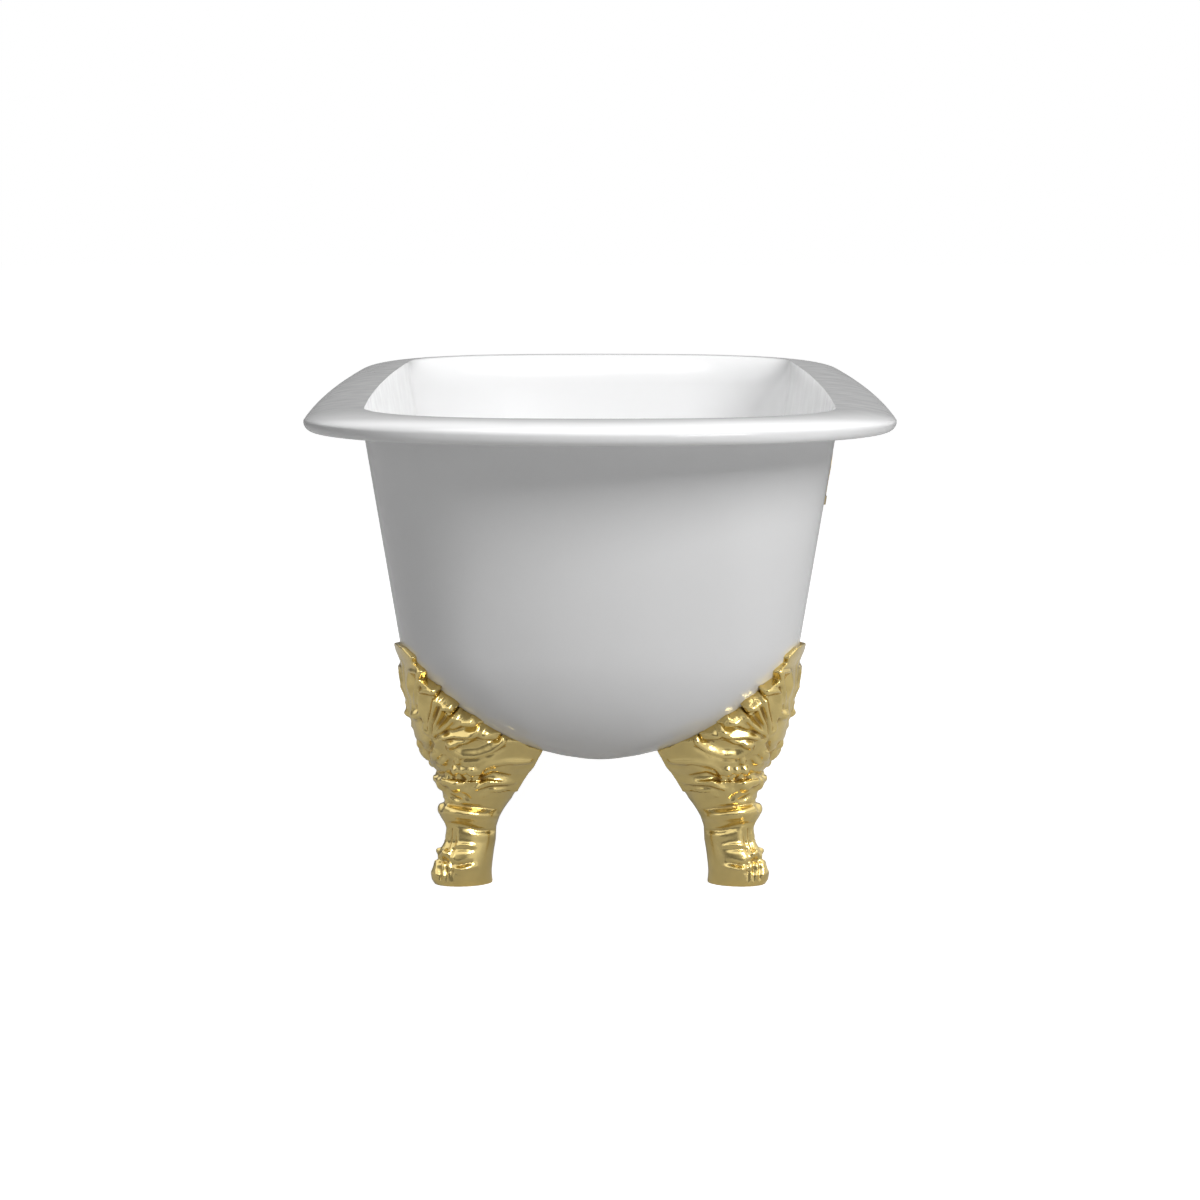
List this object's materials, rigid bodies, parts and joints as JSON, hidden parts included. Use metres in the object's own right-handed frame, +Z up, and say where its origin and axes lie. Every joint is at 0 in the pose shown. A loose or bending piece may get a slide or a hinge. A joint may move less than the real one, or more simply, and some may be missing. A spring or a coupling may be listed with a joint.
{
  "type": "clawfoot bathtub",
  "caption": "Freestanding double-ended rolled-rim bathtub on claw feet, with a pop-up waste worked by an overflow knob.",
  "frame": {"origin": "on the floor, midway between the four feet", "axes": "+X across the width, towards the overflow; +Y along the length; +Z up"},
  "size_m": [0.7496, 1.6996, 0.613],
  "materials": {
    "enamel": "vitreous enamel, high gloss",
    "foot_brass": "polished, darkened in the hollows",
    "trim_brass": "polished",
    "pipe_brass": "satin",
    "steel": "zinc plated",
    "rubber": "matt black",
    "cable": "satin black sheath"
  },
  "bodies": {
    "tub": {"tub_shell": "enamel", "foot_front_left": "foot_brass", "foot_front_right": "foot_brass", "foot_back_left": "foot_brass", "foot_back_right": "foot_brass", "foot_bolts": "steel", "foot_washers": "steel", "waste_flange": "trim_brass", "waste_seal": "rubber", "waste_gasket": "rubber", "waste_body": "pipe_brass", "lever_pin": "steel", "overflow_gasket": "rubber", "overflow_seal": "rubber", "overflow_body": "pipe_brass", "overflow_face": "trim_brass", "overflow_pipe": "pipe_brass", "pipe_seals": "rubber", "pipe_nuts": "pipe_brass", "pull_cable": "cable"},
    "knob": {"overflow_knob": "trim_brass", "knob_spindle": "steel", "knob_screw": "steel", "cable_drum": "pipe_brass"},
    "plug": {"plug": "trim_brass", "plug_seal": "rubber", "plug_screw": "steel", "plug_locknut": "steel"},
    "lever": {"lift_lever": "pipe_brass"}
  },
  "joints": [
    {"name": "knob_turn", "type": "hinge", "parent": "tub", "child": "knob", "pos_m": [0.28959, 0, 0.501], "axis": [0.9877, 0, -0.1564], "range_deg": [0, 90]},
    {"name": "plug_lift", "type": "slide", "parent": "tub", "child": "plug", "axis": [0, 0, 1], "range_m": [0, 0.0101]},
    {"name": "lever_turn", "type": "hinge", "parent": "tub", "child": "lever", "pos_m": [0.018, 0, 0.135], "axis": [0, 1, 0], "range_deg": [0, 25.1]}
  ],
  "couplings": [
    {"joint": "plug_lift", "follows": "knob_turn", "m_per_rad": 0.006366},
    {"joint": "lever_turn", "follows": "knob_turn", "ratio": 0.2777}
  ]
}
